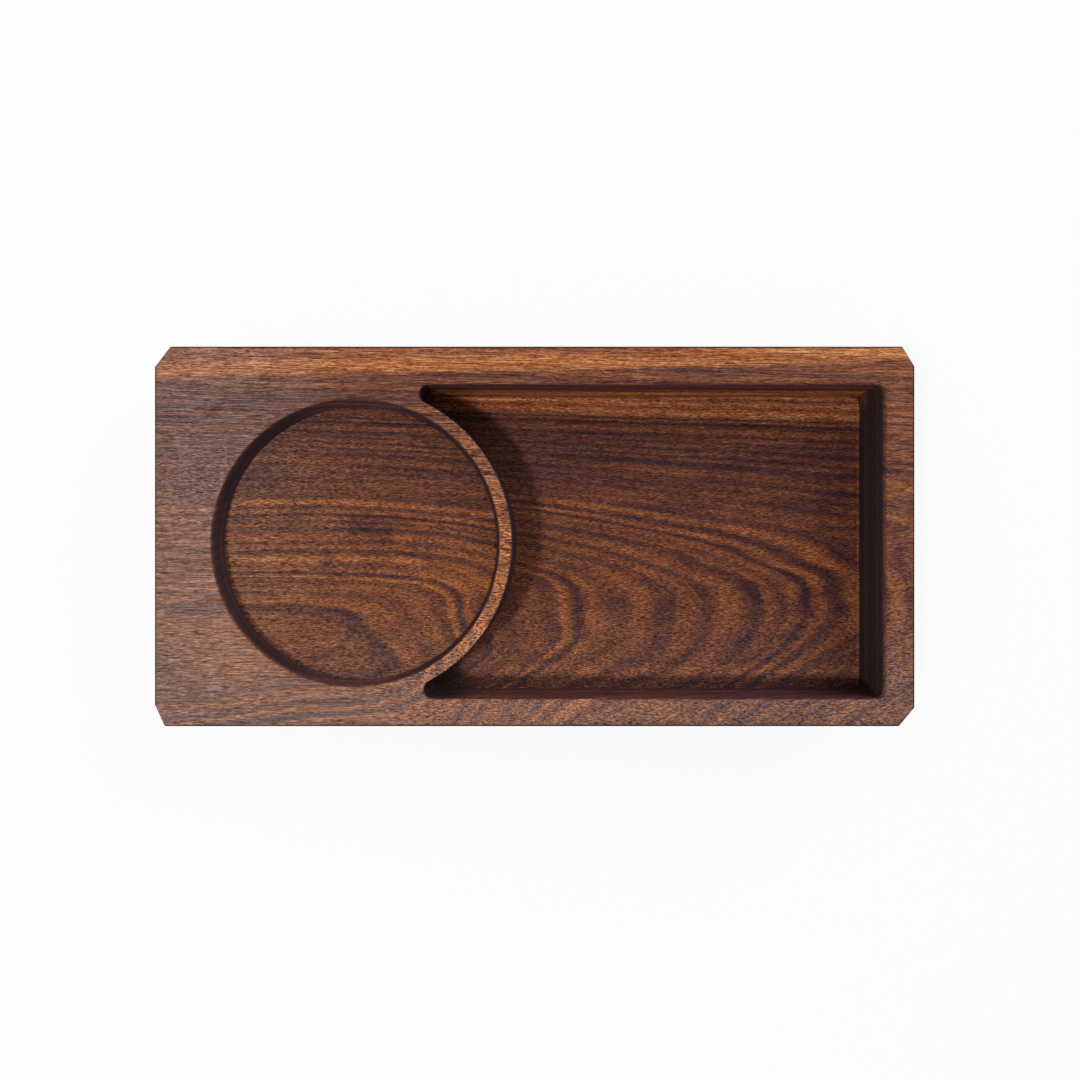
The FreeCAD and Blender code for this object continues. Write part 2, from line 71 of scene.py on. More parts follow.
# Black walnut, sanded and oiled. It gives the eye dark rings round a pith that sinks through the board, so
# the floors show straight lines at the rear and arches in front; a tan sapwood edge; short dark pores along
# the grain; and nearly black end grain. Lengths and places are in mm.
walnut = {
    # the pith's place across the board and its height, at stations along the length
    "pithAcross": [(-100, -28), (-50, -26.7), (0, -20.2), (50, -22.5), (100, -18)],
    "pithHeight": [(-100, 10), (-50, 7), (0, -8.2), (50, -19.1), (100, -30.7)],
    # rings further back run straighter: how much of the pith's run they follow, about one station
    "follow": [(-50, 1.4), (-33, 1.16), (-25, 1.03), (-18, 1.0), (-8, 1.0), (-3, 0.9), (4, 0.72),
               (12, 0.6), (20, 0.46), (28, 0.26), (36, 0.16), (50, 0.2)],
    "followAbout": 31,
    "archFlat": 7,  # the arches are blunt over this width
    "frontSpread": 0.8,  # in front of the pith the rings are wider
    # how far the rings wander, over what length along and across the grain, and how far fibres comb them
    "wander": 0.3,
    "wanderAlong": 25,
    "wanderAcross": 7,
    "comb": 0.6,
    # radius where each year's dark wood ends, and how strongly the years show
    "ringEnds": [0, 6, 11.5, 15, 18.1, 19.8, 22.3, 25.2, 27.6, 31.0, 32.4, 34.0, 36.0, 39.2, 40.6, 42.9,
                 44.5, 46.4, 50.1, 51.5, 53.4, 55.1, 56.6, 59.7, 60.8, 64.2, 66.0, 67.4, 69, 71, 73, 76, 80],
    "ringStrength": [(0, 0.5), (9, 0.4), (10.6, 0.7), (11.4, 1.8), (12, 0.7), (15, 0.6), (17.5, 0.7),
                     (18, 0.6), (18.6, 2.6), (19.3, 1.6), (19.8, 1.6), (22.2, 0.35), (22.9, 1.6),
                     (25.1, 0.8), (27.5, 1.1), (29.2, 0.9), (30.9, 1.1), (32.3, 0.4), (33.9, 1.7),
                     (35.9, 1.2), (37, 2.3), (39.1, 0.5), (40.5, 0.4), (42, 0.55), (42.8, 0.55),
                     (43.9, 0.7), (44.4, 0.4), (46.3, 0.6), (48.4, 1.0), (50, 1.0), (51.4, 1.0),
                     (52.4, 1.0), (53.3, 0.9), (54, 1.2), (55, 0.4), (56.5, 0.9), (58.3, 1.0), (59.6, 1.5),
                     (60.7, 0.8), (62.5, 1.1), (64, 1.0), (70, 0.9)],
    # rings show in patches, more at some stations than at others, and less on the sanded top
    "patch": (40, 7.0),
    "patchRange": (0.45, 1.55),
    "ringAlong": [(-100, 0.8), (-80, 0.7), (-20, 0.7), (0, 0.62), (40, 0.68), (80, 0.72), (92, 0.65),
                  (100, 0.65)],
    "ringOnTop": 0.75,
    # tone through one year's growth, from pale early wood to the dark line that ends it
    "yearTone": [(0, -0.13), (0.1, 0.0), (0.25, 0.09), (0.45, 0.07), (0.58, 0.0), (0.72, -0.12),
                 (0.87, -0.18), (1.0, -0.13)],
    # the heart is paler, the outer wood darker
    "bodyTone": [(0, 0.57), (20, 0.57), (35, 0.54), (45, 0.48), (55, 0.46), (62, 0.46), (70, 0.48)],
    # fine lines within a year; outer years are closer, with more of them
    "fineRing": 0.48,
    "fineShare": [(0, 0.15), (28, 0.2), (38, 0.3), (46, 0.6), (80, 0.6)],
    # broad streaks, fibre bundles, dashes, specks and open pores, all drawn out along the grain: length and
    # width. Real pores are finer than the render shows, so they are drawn wider.
    "streak": (70, 4.0),
    "fibre": (26, 0.24),
    "dash": (2.8, 0.17),
    "speck": (1.1, 0.12),
    "pore": (4.0, 0.6),
    "poreEdge": (0.12, 0.32),
    "cellTurn": (0.5, 0.4, 0.6),  # turned, so that no rows of cells line up with the board
    "streakShare": 0.4,
    # how much each counts, on the sanded top and on milled wood
    "grainShares": {"fibre": (2.3, 1.7), "dash": (1.0, 1.1), "speck": (1.9, 3.3), "pore": (-0.2, -0.2)},
    # what that grain does to red, green and blue, where it is pale and where it is dark
    "paleLift": (1.9, 2.75, 3.5),
    "darkDrop": (1.2, 1.65, 1.75),
    "leastLight": 0.12,
    # dark wood is purplish, pale wood orange
    "tones": [(0.0, "#1e1213"), (0.3, "#472a29"), (0.4, "#5c3730"), (0.5, "#734430"), (0.6, "#8a5232"),
              (0.75, "#a86639"), (1.0, "#cf8f57")],
    # the sapwood's lower edge on the top face, how it leans with depth, and how it runs along the length
    "sapwoodEdge": 43.9,
    "sapwoodLean": 0.59,
    "sapwoodRun": 0.024,
    "sapwoodRunByDepth": 0.0034,
    # share of sapwood colour, by the distance in from that edge
    "sapwoodShare": [(-0.8, 0.0), (0.6, 0.85), (1.5, 1.0), (3.4, 0.95), (5.0, 0.45), (9, 0.6)],
    "sapwoodTones": [(0.1, "#65341c"), (0.4, "#9e5c32"), (0.55, "#b47243"), (0.9, "#d9a470")],
    # where the cutter has been: the depths over which its work begins, a middle and a reach along and across
    # the board, the depth it stays above, and the depths where the well's floor begins
    "milledDepth": (0.25, 0.9),
    "milledReach": {"X": (3, 90.5), "Y": (-1.3, 43)},
    "milledLimit": 15,
    "wellFloor": (12.5, 13.5),
    # painted sheen greys the left end and the front, where the lamp's reflection lies, on the top more than
    # on the floors
    "paintedSheen": "#968780",
    "paintedSheenTop": 0.22,
    "paintedSheenFloor": 0.15,
    "paintedSheenLeft": (-40, -90),
    "paintedSheenFront": (-12, -40),
    "paintedSheenFrontShare": 0.85,
    # milled floors drink more oil than the sanded top, and end grain most of all; the walls get painted shade
    # with a cool tint
    "floorShade": "#e3dad4",
    # painted shade in the deep well, darkest towards its right end
    "wellShade": "#e7e3f2",  # over the floor shade, towards the right end
    "wellShadeAlong": (10, 95),
    "wellShadeLeast": 0.75,
    "wallFacing": (0.9, 0.5),
    # painted shade on heartwood walls, tinted cool for the cool light they catch
    "wallShadeTone": "#30212f",
    "wallShadeShare": 0.56,
    "wallSapwood": 0.4,  # with more sapwood than this a wall stays pale
    "endGrain": "#281b1f",
    "endGrainFacing": (0.1, 0.5),
    "endGrainInside": 0.86,
    "endGrainOutside": 0.45,
    # the cutter's lines along the walls, and painted shade in the tight corners of the well: place and share
    "cutterLine": 2.2,
    "cutterRange": (0.5, 1.9),
    "cornerShadeColour": "#1e1719",
    "shadedCorners": [((-27, -40.5), 0.7), ((-27, 37.5), 0.15)],
    "cornerShadeReach": (13, 3),
    "cornerShadeOutside": 41,
    # all edges are softened by hand, and the outer ones get a painted shade line where they round away: how
    # far in, and how far down
    "easedEdge": 0.4,
    "edgeShade": "#6a5a58",
    "edgeReach": (0.25, 0.75),
    "edgeDepth": (1.2, 0.4),
    # the free part of the ring wall is polished and paler, and its grain stands out
    "dishAxis": (-47.2, -1.7),
    "ringReach": (41.5, 41.1),
    "ringFree": (-36, -16),
    "ringLift": 0.1,
    "ringGrain": 8,
    # oil leaves the sanded top smoother than milled wood and end grain
    "roughness": (0.42, 0.56),
    "roughMilled": 0.2,
    "roughEndGrain": 0.2,
    # fibres stand up and pores are open
    "relief": 0.15,
    "reliefStrength": 0.4,
    "reliefPore": -0.6,
    "reliefDash": 0.6,
    # single streaks in the wood, marks of use, and some painted light and shade, each a soft straight line:
    # start, end, width and tone
    # in the well, the first two lines are painted highlights along the floor's rear and right edges, where it
    # meets the walls
    "wellMarksAndEdgeHighlights": [((-18, 39.3), (91.4, 39.8), 0.5, 0.25), ((91.3, -42.5), (91.3, 39.8), 0.45, 0.18),
                  ((15.7, -18.6), (9.7, -36.2), 0.3, 0.2), ((41, -10.9), (47.8, -19.4), 0.28, 0.25),
                  ((64.6, 32.4), (48, 22.5), 0.7, 0.08), ((33.5, -32.5), (34, -34.5), 0.3, 0.2),
                  ((39.5, -31), (40.8, -32), 0.35, 0.2), ((88, 37.5), (90.5, 38.5), 2.5, 0.12),
                  ((-8, -37.4), (91, -37.6), 2.5, 0.12), ((-8, 34), (91, 34), 7, 0.08)],
    "dishMarks": [((-47, 2.5), (-41, 0.5), 6.5, -0.14), ((-10.6, -2.5), (-10.2, -2.5), 0.9, -0.5),
                  ((-81, 9.6), (-54, 9.0), 1.4, 0.09), ((-52, 8.8), (-11, 6.3), 1.4, 0.09),
                  ((-80, -6.4), (-60, -6.6), 2.3, 0.1), ((-53.5, -6.2), (-42, -6.5), 2.3, 0.06),
                  ((-67, 0.3), (-60, 0.2), 1.3, 0.07), ((-80, -2.2), (-52, -2.2), 1.0, 0.03),
                  ((-37.5, -6.3), (-28, -9.3), 3.2, 0.08), ((-24, -10.7), (-11, -14.2), 3.2, 0.1),
                  ((-79.5, -3.8), (-39, -3.8), 0.9, -0.11), ((-37.5, -4.1), (-28, -6.3), 1.2, -0.12),
                  ((-56, -4), (-56, -7), 1.8, -0.13), ((-79, -18.9), (-61, -20.6), 0.9, -0.1),
                  ((-60, -20.8), (-52, -23.6), 1.0, -0.12), ((-50.5, -24.3), (-49.5, -25.3), 1.6, -0.13),
                  ((-50.5, -27), (-52.5, -29.6), 1.3, -0.12), ((-53.5, -30.3), (-59.5, -33.2), 1.3, -0.12)],
    # on the top, painted shade at the front left where the lamp falls brightest, and painted light along the
    # front rail and the right end
    "topPaintedLightAndShade": [((-93, -18), (-93, -42), 16, -0.06), ((-84, -46), (-45, -47), 8, -0.04),
                 ((0, -46.5), (90, -46.5), 5, 0.05), ((96, -38), (96, 40), 9, 0.06)],
}


# Where a point lies in the tree, across and above the pith, and its place once the rings have wandered
def walnutTree(tree, look, real, place):
    reach = 2 * look["wander"]
    cells = addNode(tree, "ShaderNodeMapping", {"Vector": place, "Scale": (
        1 / look["wanderAlong"], 1 / look["wanderAcross"], 1 / look["wanderAcross"])}).outputs[0]
    drift = addNode(tree, "ShaderNodeTexNoise", {"Vector": cells, "Scale": 1, "Detail": 2}).outputs["Color"]
    drift = addNode(tree, "ShaderNodeVectorMath", {
        0: drift, 1: (0, 2 * reach, 2 * reach), 2: (0, -reach, -reach)}, operation="MULTIPLY_ADD").outputs[0]
    moved = addNode(tree, "ShaderNodeVectorMath", {0: place, 1: drift}, operation="ADD").outputs[0]
    moved = addNode(tree, "ShaderNodeSeparateXYZ", {0: moved}).outputs
    follow = addNode(tree, "ShaderNodeFloatCurve", {"Value": real["Y"]}, points=look["follow"]).outputs[0]
    station = addNode(tree, "ShaderNodeMath", {0: real["X"], 1: look["followAbout"]},
                      operation="SUBTRACT").outputs[0]
    station = addNode(tree, "ShaderNodeMath", {0: station, 1: follow, 2: look["followAbout"]},
                      operation="MULTIPLY_ADD").outputs[0]
    across = addNode(tree, "ShaderNodeFloatCurve", {"Value": station}, points=look["pithAcross"]).outputs[0]
    height = addNode(tree, "ShaderNodeFloatCurve", {"Value": station}, points=look["pithHeight"]).outputs[0]
    across = addNode(tree, "ShaderNodeMath", {0: moved["Y"], 1: across}, operation="SUBTRACT").outputs[0]
    front = addNode(tree, "ShaderNodeMath", {0: across, 1: 0}, operation="MINIMUM").outputs[0]
    across = addNode(tree, "ShaderNodeMath", {0: front, 1: look["frontSpread"] - 1, 2: across},
                     operation="MULTIPLY_ADD").outputs[0]
    height = addNode(tree, "ShaderNodeMath", {0: moved["Z"], 1: height}, operation="SUBTRACT").outputs[0]
    return across, height, moved


# Noise cells drawn out along the fibres, from broad streaks down to single specks
def walnutGrain(tree, look, real, place, across, height):
    along = addNode(tree, "ShaderNodeCombineXYZ", {0: real["X"], 1: across, 2: height}).outputs[0]
    grain = {}
    for name, detail in (("streak", 3), ("patch", 2), ("fibre", 2), ("dash", 1), ("speck", 1), ("pore", 0)):
        length, width = look[name]
        cells = addNode(tree, "ShaderNodeMapping", {
            "Vector": place if name in ("dash", "speck") else along, "Rotation": look["cellTurn"],
            "Scale": (1 / length, 1 / width, 1 / width)}).outputs[0]
        if name == "pore":
            inner, outer = look["poreEdge"]
            pore = addNode(tree, "ShaderNodeTexVoronoi", {"Vector": cells, "Scale": 1}).outputs["Distance"]
            grain[name] = addNode(tree, "ShaderNodeMapRange", {
                "Value": pore, "From Min": inner, "From Max": outer, "To Min": 1, "To Max": 0},
                interpolation_type="SMOOTHSTEP").outputs[0]
        else:
            noise = addNode(tree, "ShaderNodeTexNoise", {
                "Vector": cells, "Scale": 1, "Detail": detail, "Roughness": 0.6}).outputs[0]
            grain[name] = addNode(tree, "ShaderNodeMath", {0: noise, 1: 0.5}, operation="SUBTRACT").outputs[0]
    return grain


# The tone of the year's ring at a point, and how deep the fine grain over it is
def walnutRings(tree, look, station, across, height, grain, milled):
    square = addNode(tree, "ShaderNodeMath", {0: across, 1: across}, operation="MULTIPLY").outputs[0]
    fourth = addNode(tree, "ShaderNodeMath", {0: square, 1: square}, operation="MULTIPLY").outputs[0]
    share = addNode(tree, "ShaderNodeMath", {0: fourth, 1: look["archFlat"] ** 4}, operation="ADD").outputs[0]
    share = addNode(tree, "ShaderNodeMath", {0: fourth, 1: share}, operation="DIVIDE").outputs[0]
    bent = addNode(tree, "ShaderNodeMath", {0: across, 1: share}, operation="MULTIPLY").outputs[0]
    section = addNode(tree, "ShaderNodeCombineXYZ", {0: bent, 1: height}).outputs[0]
    radius = addNode(tree, "ShaderNodeVectorMath", {0: section}, operation="LENGTH").outputs["Value"]
    radius = addNode(tree, "ShaderNodeMath", {0: grain["dash"], 1: look["comb"], 2: radius},
                     operation="MULTIPLY_ADD").outputs[0]
    years = [(end, number) for number, end in enumerate(look["ringEnds"])]
    year = addNode(tree, "ShaderNodeFloatCurve", {"Value": radius}, points=years, straight=True).outputs[0]
    year = addNode(tree, "ShaderNodeMath", {0: year}, operation="FRACT").outputs[0]
    year = addNode(tree, "ShaderNodeFloatCurve", {"Value": year}, points=look["yearTone"]).outputs[0]
    strength = addNode(tree, "ShaderNodeFloatCurve", {"Value": radius},
                       points=look["ringStrength"]).outputs[0]
    weakest, strongest = look["patchRange"]
    patch = addNode(tree, "ShaderNodeMapRange", {
        "Value": grain["patch"], "From Min": -0.25, "From Max": 0.25, "To Min": weakest,
        "To Max": strongest}).outputs[0]
    ends = addNode(tree, "ShaderNodeFloatCurve", {"Value": station}, points=look["ringAlong"]).outputs[0]
    sanded = addNode(tree, "ShaderNodeMapRange", {
        "Value": milled, "To Min": look["ringOnTop"], "To Max": 1}).outputs[0]
    for share in (patch, ends, sanded):
        strength = addNode(tree, "ShaderNodeMath", {0: strength, 1: share}, operation="MULTIPLY").outputs[0]
    tone = addNode(tree, "ShaderNodeFloatCurve", {"Value": radius}, points=look["bodyTone"]).outputs[0]
    tone = addNode(tree, "ShaderNodeMath", {0: year, 1: strength, 2: tone},
                   operation="MULTIPLY_ADD").outputs[0]
    tone = addNode(tree, "ShaderNodeMath", {0: grain["streak"], 1: look["streakShare"], 2: tone},
                   operation="MULTIPLY_ADD").outputs[0]

    fine = addNode(tree, "ShaderNodeTexNoise", {
        "W": radius, "Scale": 1 / look["fineRing"], "Detail": 3, "Roughness": 0.6},
        noise_dimensions="1D").outputs[0]
    fine = addNode(tree, "ShaderNodeMath", {0: fine, 1: 0.5}, operation="SUBTRACT").outputs[0]
    share = addNode(tree, "ShaderNodeFloatCurve", {"Value": radius}, points=look["fineShare"]).outputs[0]
    deep = addNode(tree, "ShaderNodeMath", {0: fine, 1: share}, operation="MULTIPLY").outputs[0]
    for name, (onTop, onFloor) in look["grainShares"].items():
        share = addNode(tree, "ShaderNodeMapRange", {
            "Value": milled, "To Min": onTop, "To Max": onFloor}).outputs[0]
        deep = addNode(tree, "ShaderNodeMath", {0: grain[name], 1: share, 2: deep},
                       operation="MULTIPLY_ADD").outputs[0]
    return tone, deep


# Soft straight marks between two points, as one tone to add
def walnutMarks(tree, marks, flat, level):
    total = 0.0
    for begin, end, width, tone in marks:
        run = Vector(end) - Vector(begin)
        offset = addNode(tree, "ShaderNodeVectorMath", {0: flat, 1: (*begin, 0)},
                         operation="SUBTRACT").outputs[0]
        share = addNode(tree, "ShaderNodeVectorMath", {0: offset, 1: (*(run / run.length_squared), 0)},
                        operation="DOT_PRODUCT").outputs["Value"]
        share = addNode(tree, "ShaderNodeClamp", {0: share}).outputs[0]
        nearest = addNode(tree, "ShaderNodeVectorMath", {0: (*run, 0), "Scale": share},
                          operation="SCALE").outputs[0]
        away = addNode(tree, "ShaderNodeVectorMath", {0: offset, 1: nearest},
                       operation="DISTANCE").outputs["Value"]
        mark = addNode(tree, "ShaderNodeMapRange", {
            "Value": away, "From Min": 0, "From Max": width, "To Min": tone, "To Max": 0},
            interpolation_type="SMOOTHSTEP").outputs[0]
        total = addNode(tree, "ShaderNodeMath", {0: mark, 1: total}, operation="ADD").outputs[0]
    return addNode(tree, "ShaderNodeMath", {0: total, 1: level}, operation="MULTIPLY").outputs[0]


# Where the cutter has been, below the top and inside the rails, and which of that is the well's floor
def walnutMilled(tree, look, real, depth):
    start, full = look["milledDepth"]
    milled = addNode(tree, "ShaderNodeMapRange", {
        "Value": depth, "From Min": start, "From Max": full}).outputs[0]
    for axis, (middle, reach) in look["milledReach"].items():
        side = addNode(tree, "ShaderNodeMath", {0: real[axis], 1: middle}, operation="SUBTRACT").outputs[0]
        side = addNode(tree, "ShaderNodeMath", {0: side}, operation="ABSOLUTE").outputs[0]
        side = addNode(tree, "ShaderNodeMath", {0: side, 1: reach}, operation="LESS_THAN").outputs[0]
        milled = addNode(tree, "ShaderNodeMath", {0: milled, 1: side}, operation="MULTIPLY").outputs[0]
    above = addNode(tree, "ShaderNodeMath", {0: depth, 1: look["milledLimit"]},
                    operation="LESS_THAN").outputs[0]
    milled = addNode(tree, "ShaderNodeMath", {0: milled, 1: above}, operation="MULTIPLY").outputs[0]
    start, full = look["wellFloor"]
    inWell = addNode(tree, "ShaderNodeMapRange", {
        "Value": depth, "From Min": start, "From Max": full}).outputs[0]
    inWell = addNode(tree, "ShaderNodeMath", {0: milled, 1: inWell}, operation="MULTIPLY").outputs[0]
    return milled, inWell


# The free part of the ring wall's top, and how far a point is from the dish's axis
def walnutPolish(tree, look, real, flat, high):
    fromAxis = addNode(tree, "ShaderNodeVectorMath", {0: flat, 1: (*look["dishAxis"], 0)},
                       operation="DISTANCE").outputs["Value"]
    start, full = look["ringReach"]
    onRing = addNode(tree, "ShaderNodeMapRange", {
        "Value": fromAxis, "From Min": start, "From Max": full, "To Min": 0,
        "To Max": look["ringLift"]}).outputs[0]
    start, full = look["ringFree"]
    free = addNode(tree, "ShaderNodeMapRange", {
        "Value": real["X"], "From Min": start, "From Max": full}, interpolation_type="SMOOTHSTEP").outputs[0]
    free = addNode(tree, "ShaderNodeMath", {0: free, 1: high}, operation="MULTIPLY").outputs[0]
    polished = addNode(tree, "ShaderNodeMath", {0: onRing, 1: free}, operation="MULTIPLY").outputs[0]
    return polished, fromAxis


# The share of sapwood along the rear edge
def walnutSapwood(tree, look, real, moved, depth, grain):
    run = addNode(tree, "ShaderNodeMath", {0: depth, 1: look["sapwoodRunByDepth"], 2: -look["sapwoodRun"]},
                  operation="MULTIPLY_ADD").outputs[0]
    edge = addNode(tree, "ShaderNodeMath", {0: run, 1: real["X"], 2: moved["Y"]},
                   operation="MULTIPLY_ADD").outputs[0]
    edge = addNode(tree, "ShaderNodeMath", {0: depth, 1: look["sapwoodLean"], 2: edge},
                   operation="MULTIPLY_ADD").outputs[0]
    edge = addNode(tree, "ShaderNodeMath", {0: edge, 1: look["sapwoodEdge"]}, operation="SUBTRACT").outputs[0]
    edge = addNode(tree, "ShaderNodeMath", {0: grain["dash"], 1: look["comb"], 2: edge},
                   operation="MULTIPLY_ADD").outputs[0]
    return addNode(tree, "ShaderNodeFloatCurve", {"Value": edge}, points=look["sapwoodShare"]).outputs[0]


# The share of painted sheen, where the surface faces up at the left end and along the front
def walnutPaintedSheen(tree, look, real, milled, steep):
    start, full = look["paintedSheenLeft"]
    left = addNode(tree, "ShaderNodeMapRange", {
        "Value": real["X"], "From Min": start, "From Max": full}, interpolation_type="SMOOTHSTEP").outputs[0]
    start, full = look["paintedSheenFront"]
    front = addNode(tree, "ShaderNodeMapRange", {
        "Value": real["Y"], "From Min": start, "From Max": full, "To Max": look["paintedSheenFrontShare"]},
        interpolation_type="SMOOTHSTEP").outputs[0]
    sheenShare = addNode(tree, "ShaderNodeMath", {0: left, 1: front}, operation="MAXIMUM").outputs[0]
    share = addNode(tree, "ShaderNodeMapRange", {
        "Value": milled, "To Min": look["paintedSheenTop"], "To Max": look["paintedSheenFloor"]}).outputs[0]
    sheenShare = addNode(tree, "ShaderNodeMath", {0: sheenShare, 1: share}, operation="MULTIPLY").outputs[0]
    level = addNode(tree, "ShaderNodeMath", {0: 1, 1: steep}, operation="SUBTRACT").outputs[0]
    return addNode(tree, "ShaderNodeMath", {0: sheenShare, 1: level}, operation="MULTIPLY").outputs[0]


# The colour once the fine grain has scaled it, pale and dark by their own amounts
def walnutDeepened(tree, look, colour, deep):
    pale = addNode(tree, "ShaderNodeMath", {0: deep, 1: 0}, operation="MAXIMUM").outputs[0]
    dark = addNode(tree, "ShaderNodeMath", {0: deep, 1: 0}, operation="MINIMUM").outputs[0]
    scale = addNode(tree, "ShaderNodeVectorMath", {0: pale, 1: look["paleLift"], 2: (1, 1, 1)},
                    operation="MULTIPLY_ADD").outputs[0]
    scale = addNode(tree, "ShaderNodeVectorMath", {0: dark, 1: look["darkDrop"], 2: scale},
                    operation="MULTIPLY_ADD").outputs[0]
    scale = addNode(tree, "ShaderNodeVectorMath", {0: scale, 1: [look["leastLight"]] * 3},
                    operation="MAXIMUM").outputs[0]
    return addNode(tree, "ShaderNodeVectorMath", {0: colour, 1: scale}, operation="MULTIPLY").outputs[0]


# The colour with painted shade on its walls and in the well's tight corners, its end grain soaked and the
# cutter's lines drawn
def walnutWalls(tree, look, flat, depth, milled, sap, fromAxis, steep, endGrain, colour):
    # walls of heartwood get painted shade with a cool tint; end grain is soaked dark
    upright = addNode(tree, "ShaderNodeMath", {0: steep, 1: milled}, operation="MULTIPLY").outputs[0]
    heart = addNode(tree, "ShaderNodeMapRange", {
        "Value": sap, "From Max": look["wallSapwood"], "To Min": look["wallShadeShare"], "To Max": 0}).outputs[0]
    wall = addNode(tree, "ShaderNodeMath", {0: upright, 1: heart}, operation="MULTIPLY").outputs[0]
    soaked = addNode(tree, "ShaderNodeMapRange", {
        "Value": milled, "To Min": look["endGrainOutside"], "To Max": look["endGrainInside"]}).outputs[0]
    soaked = addNode(tree, "ShaderNodeMath", {0: soaked, 1: endGrain}, operation="MULTIPLY").outputs[0]
    stainsAndShade = [(wall, look["wallShadeTone"]), (soaked, look["endGrain"])]
    outside = addNode(tree, "ShaderNodeMath", {0: fromAxis, 1: look["cornerShadeOutside"]},
                      operation="GREATER_THAN").outputs[0]
    outside = addNode(tree, "ShaderNodeMath", {0: outside, 1: milled}, operation="MULTIPLY").outputs[0]
    start, full = look["cornerShadeReach"]
    # painted shade in the well's tight corners
    for corner, most in look["shadedCorners"]:
        away = addNode(tree, "ShaderNodeVectorMath", {0: flat, 1: (*corner, 0)},
                       operation="DISTANCE").outputs["Value"]
        cornerShade = addNode(tree, "ShaderNodeMapRange", {
            "Value": away, "From Min": start, "From Max": full, "To Max": most},
            interpolation_type="SMOOTHSTEP").outputs[0]
        cornerShade = addNode(tree, "ShaderNodeMath", {0: cornerShade, 1: outside}, operation="MULTIPLY").outputs[0]
        stainsAndShade.append((cornerShade, look["cornerShadeColour"]))
    for share, shade in stainsAndShade:
        colour = addNode(tree, "ShaderNodeMix", {"Factor": share, 6: colour, 7: hexToLinear(shade)},
                         data_type="RGBA").outputs[2]
    darkest, palest = look["cutterRange"]
    lines = addNode(tree, "ShaderNodeTexNoise", {
        "W": depth, "Scale": 1 / look["cutterLine"], "Detail": 2}, noise_dimensions="1D").outputs[0]
    lines = addNode(tree, "ShaderNodeMapRange", {
        "Value": lines, "From Min": 0.25, "From Max": 0.75, "To Min": darkest, "To Max": palest}).outputs[0]
    lines = addNode(tree, "ShaderNodeMix", {"Factor": upright, 2: 1, 3: lines}).outputs[0]
    return addNode(tree, "ShaderNodeVectorMath", {0: colour, "Scale": lines}, operation="SCALE").outputs[0]


# The painted shade line along the outer edges of the top
def walnutEdge(tree, look, real, high):
    inner, outer = look["edgeReach"]
    edge = 1.0
    for axis, reach in (("X", trayHigh.x), ("Y", trayHigh.y)):
        side = addNode(tree, "ShaderNodeMath", {0: real[axis]}, operation="ABSOLUTE").outputs[0]
        side = addNode(tree, "ShaderNodeMath", {0: reach, 1: side}, operation="SUBTRACT").outputs[0]
        edge = addNode(tree, "ShaderNodeMath", {0: side, 1: edge}, operation="MINIMUM").outputs[0]
    edge = addNode(tree, "ShaderNodeMapRange", {
        "Value": edge, "From Min": inner, "From Max": outer, "To Min": 1, "To Max": 0},
        interpolation_type="SMOOTHSTEP").outputs[0]
    return addNode(tree, "ShaderNodeMath", {0: edge, 1: high}, operation="MULTIPLY").outputs[0]


